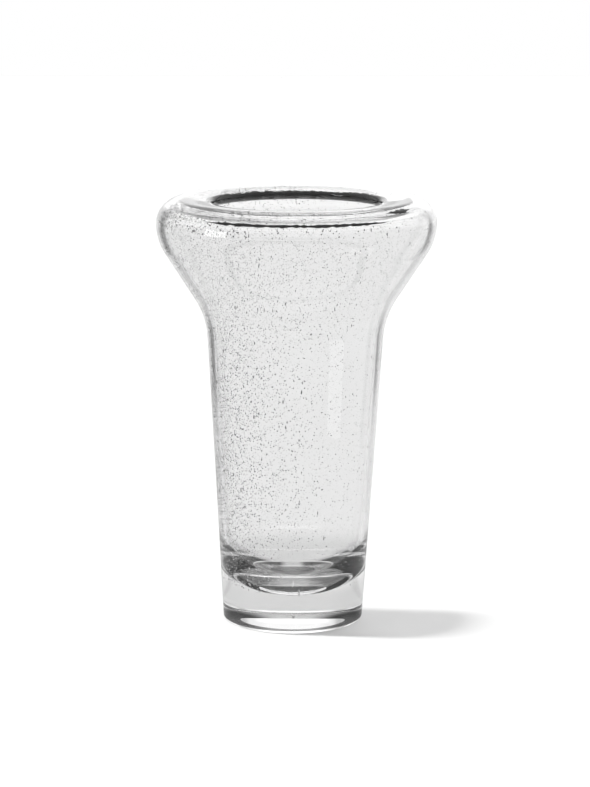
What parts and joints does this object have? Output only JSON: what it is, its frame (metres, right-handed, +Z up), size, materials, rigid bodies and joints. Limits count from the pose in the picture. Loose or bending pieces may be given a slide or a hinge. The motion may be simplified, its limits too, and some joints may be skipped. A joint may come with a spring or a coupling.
{
  "type": "conical vase",
  "caption": "Clear bubble-glass vase: a slim tapered body on a solid foot, a flared shoulder and a thick rim rolled in to a wide mouth.",
  "frame": {"origin": "middle of the foot, at the height of the table that it stands on", "axes": "+Z up along the axis of the vase; X and Y are alike, because the vase is round"},
  "size_m": [0.1624, 0.1624, 0.25],
  "materials": {
    "clear_glass": "fire-polished, bubble-free",
    "seeded_glass": "fire-polished, full of small air bubbles"
  },
  "bodies": {
    "root": {"clear_foot": "clear_glass", "seeded_bowl": "seeded_glass", "rolled_rim": "clear_glass"}
  },
  "joints": []
}
